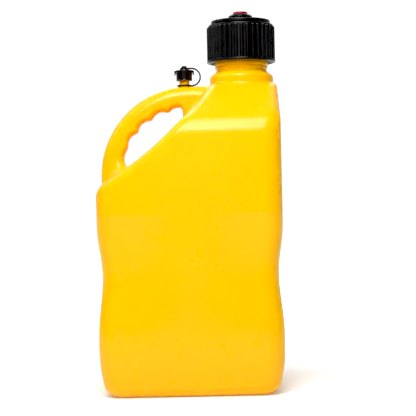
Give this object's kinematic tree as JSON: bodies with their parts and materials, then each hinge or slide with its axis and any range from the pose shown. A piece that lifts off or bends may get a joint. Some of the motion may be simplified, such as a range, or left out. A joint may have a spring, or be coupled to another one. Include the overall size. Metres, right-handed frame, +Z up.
{
  "type": "fuel jug",
  "caption": "Square moulded utility fuel jug with a loop handle over a sloped shoulder, a large ribbed screw cap with a plugged port, and a tethered vent cap.",
  "frame": {"origin": "centre of the base, on the surface that the jug stands on", "axes": "+Z up; +X from the handle's side towards the neck's side; the jug's plane of symmetry is Y = 0"},
  "size_m": [0.26, 0.26, 0.55],
  "materials": {
    "jug_plastic": "satin blow-moulded polyethylene, slightly translucent",
    "cap_plastic": "satin moulded polypropylene",
    "bushing_plastic": "satin moulded plastic",
    "plug_plastic": "semi-gloss moulded plastic",
    "seal_rubber": "matt sealing rubber",
    "strap_plastic": "soft flexible moulded strap"
  },
  "bodies": {
    "jug": {"jug_body": "jug_plastic", "vent_tether": "strap_plastic"},
    "cap_carrier": {"cap_gasket": "seal_rubber"},
    "cap": {"main_cap": "cap_plastic", "port_bushing": "bushing_plastic"},
    "plug": {"port_plug": "plug_plastic"},
    "vent_carrier": {"vent_gasket": "seal_rubber"},
    "vent": {"vent_cap": "cap_plastic"}
  },
  "joints": [
    {"name": "main_cap_rise", "type": "slide", "parent": "jug", "child": "cap_carrier", "axis": [0, 0, 1], "range_m": [0, 0.0561]},
    {"name": "main_cap_turn", "type": "hinge", "parent": "cap_carrier", "child": "cap", "pos_m": [0.0795, 0, 0.5], "axis": [0, 0, 1], "range_deg": [0, 2520]},
    {"name": "port_plug_pull", "type": "slide", "parent": "cap", "child": "plug", "axis": [0, 0, 1], "range_m": [0, 0.024]},
    {"name": "vent_cap_rise", "type": "slide", "parent": "jug", "child": "vent_carrier", "axis": [0, 0, 1], "range_m": [0, 0.01355], "deforming": ["vent_tether"]},
    {"name": "vent_cap_turn", "type": "hinge", "parent": "vent_carrier", "child": "vent", "pos_m": [-0.005, 0, 0.46], "axis": [0, 0, 1], "range_deg": [0, 1620]}
  ],
  "couplings": [
    {"joint": "main_cap_rise", "follows": "main_cap_turn", "m_per_rad": 0.0012732},
    {"joint": "vent_cap_rise", "follows": "vent_cap_turn", "m_per_rad": 0.00047746}
  ]
}
